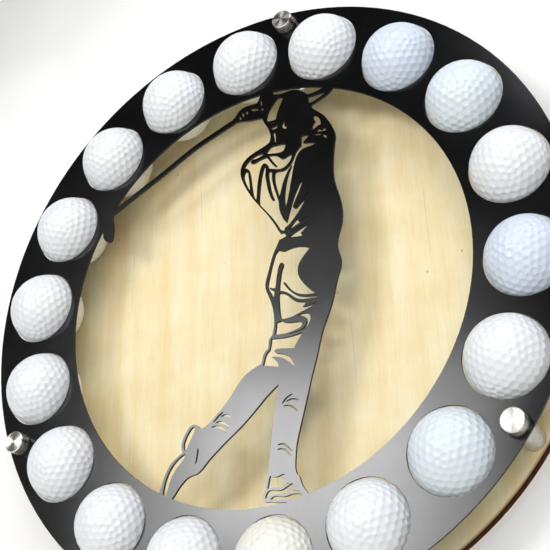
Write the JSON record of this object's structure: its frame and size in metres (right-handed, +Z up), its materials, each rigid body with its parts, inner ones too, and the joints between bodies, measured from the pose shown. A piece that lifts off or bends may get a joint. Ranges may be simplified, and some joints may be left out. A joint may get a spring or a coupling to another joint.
{
  "type": "golf ball display case",
  "caption": "Round wall display that holds golf balls in a ring of holes round an openwork golfer, cut from steel plate and stood off a plywood backboard.",
  "frame": {"origin": "centre of the backboard's rear face, which lies on the wall", "axes": "+Z up the wall, -Y out of the wall towards the viewer, +X to the viewer's right"},
  "size_m": [0.3449, 0.0488, 0.345],
  "materials": {
    "plate": "satin black powder coat",
    "board": "clear sealed pale plywood with laser-browned edges",
    "barrel": "brushed",
    "screw": "plain zinc",
    "washer": "clear soft plastic",
    "cap": "turned and polished",
    "ball": "gloss white"
  },
  "bodies": {
    "case": {"front_plate": "plate", "backboard": "board", "barrel_top": "barrel", "stud_top": "screw", "board_screw_top": "screw", "barrel_left": "barrel", "stud_left": "screw", "board_screw_left": "screw", "barrel_right": "barrel", "stud_right": "screw", "board_screw_right": "screw"},
    "ball_01": {"golf_ball_01": "ball"},
    "ball_02": {"golf_ball_02": "ball"},
    "ball_03": {"golf_ball_03": "ball"},
    "ball_04": {"golf_ball_04": "ball"},
    "ball_05": {"golf_ball_05": "ball"},
    "ball_06": {"golf_ball_06": "ball"},
    "ball_07": {"golf_ball_07": "ball"},
    "ball_08": {"golf_ball_08": "ball"},
    "ball_09": {"golf_ball_09": "ball"},
    "ball_10": {"golf_ball_10": "ball"},
    "ball_11": {"golf_ball_11": "ball"},
    "ball_12": {"golf_ball_12": "ball"},
    "ball_13": {"golf_ball_13": "ball"},
    "ball_14": {"golf_ball_14": "ball"},
    "ball_15": {"golf_ball_15": "ball"},
    "ball_16": {"golf_ball_16": "ball"},
    "ball_17": {"golf_ball_17": "ball"},
    "ball_18": {"golf_ball_18": "ball"},
    "washer_carrier_top": {"washer_top": "washer"},
    "finger_cap_top": {"cap_top": "cap"},
    "washer_carrier_left": {"washer_left": "washer"},
    "finger_cap_left": {"cap_left": "cap"},
    "washer_carrier_right": {"washer_right": "washer"},
    "finger_cap_right": {"cap_right": "cap"}
  },
  "joints": [
    {"name": "ball_01_pull_out", "type": "slide", "parent": "case", "child": "ball_01", "axis": [0, -1, 0], "range_m": [0, 0.027]},
    {"name": "ball_02_pull_out", "type": "slide", "parent": "case", "child": "ball_02", "axis": [0, -1, 0], "range_m": [0, 0.027]},
    {"name": "ball_03_pull_out", "type": "slide", "parent": "case", "child": "ball_03", "axis": [0, -1, 0], "range_m": [0, 0.027]},
    {"name": "ball_04_pull_out", "type": "slide", "parent": "case", "child": "ball_04", "axis": [0, -1, 0], "range_m": [0, 0.027]},
    {"name": "ball_05_pull_out", "type": "slide", "parent": "case", "child": "ball_05", "axis": [0, -1, 0], "range_m": [0, 0.027]},
    {"name": "ball_06_pull_out", "type": "slide", "parent": "case", "child": "ball_06", "axis": [0, -1, 0], "range_m": [0, 0.027]},
    {"name": "ball_07_pull_out", "type": "slide", "parent": "case", "child": "ball_07", "axis": [0, -1, 0], "range_m": [0, 0.027]},
    {"name": "ball_08_pull_out", "type": "slide", "parent": "case", "child": "ball_08", "axis": [0, -1, 0], "range_m": [0, 0.027]},
    {"name": "ball_09_pull_out", "type": "slide", "parent": "case", "child": "ball_09", "axis": [0, -1, 0], "range_m": [0, 0.027]},
    {"name": "ball_10_pull_out", "type": "slide", "parent": "case", "child": "ball_10", "axis": [0, -1, 0], "range_m": [0, 0.027]},
    {"name": "ball_11_pull_out", "type": "slide", "parent": "case", "child": "ball_11", "axis": [0, -1, 0], "range_m": [0, 0.027]},
    {"name": "ball_12_pull_out", "type": "slide", "parent": "case", "child": "ball_12", "axis": [0, -1, 0], "range_m": [0, 0.027]},
    {"name": "ball_13_pull_out", "type": "slide", "parent": "case", "child": "ball_13", "axis": [0, -1, 0], "range_m": [0, 0.027]},
    {"name": "ball_14_pull_out", "type": "slide", "parent": "case", "child": "ball_14", "axis": [0, -1, 0], "range_m": [0, 0.027]},
    {"name": "ball_15_pull_out", "type": "slide", "parent": "case", "child": "ball_15", "axis": [0, -1, 0], "range_m": [0, 0.027]},
    {"name": "ball_16_pull_out", "type": "slide", "parent": "case", "child": "ball_16", "axis": [0, -1, 0], "range_m": [0, 0.027]},
    {"name": "ball_17_pull_out", "type": "slide", "parent": "case", "child": "ball_17", "axis": [0, -1, 0], "range_m": [0, 0.027]},
    {"name": "ball_18_pull_out", "type": "slide", "parent": "case", "child": "ball_18", "axis": [0, -1, 0], "range_m": [0, 0.027]},
    {"name": "cap_top_travel", "type": "slide", "parent": "case", "child": "washer_carrier_top", "axis": [0, -1, 0], "range_m": [0, 0.0041]},
    {"name": "cap_top_turn", "type": "hinge", "parent": "washer_carrier_top", "child": "finger_cap_top", "pos_m": [0, 0, 0.16498], "axis": [0, -1, 0], "range_deg": [0, 1440]},
    {"name": "cap_left_travel", "type": "slide", "parent": "case", "child": "washer_carrier_left", "axis": [0, -1, 0], "range_m": [0, 0.0041]},
    {"name": "cap_left_turn", "type": "hinge", "parent": "washer_carrier_left", "child": "finger_cap_left", "pos_m": [-0.14288, 0, -0.08249], "axis": [0, -1, 0], "range_deg": [0, 1440]},
    {"name": "cap_right_travel", "type": "slide", "parent": "case", "child": "washer_carrier_right", "axis": [0, -1, 0], "range_m": [0, 0.0041]},
    {"name": "cap_right_turn", "type": "hinge", "parent": "washer_carrier_right", "child": "finger_cap_right", "pos_m": [0.14288, 0, -0.08249], "axis": [0, -1, 0], "range_deg": [0, 1440]}
  ],
  "couplings": [
    {"joint": "cap_top_travel", "follows": "cap_top_turn", "m_per_rad": 0.00015915},
    {"joint": "cap_left_travel", "follows": "cap_left_turn", "m_per_rad": 0.00015915},
    {"joint": "cap_right_travel", "follows": "cap_right_turn", "m_per_rad": 0.00015915}
  ]
}
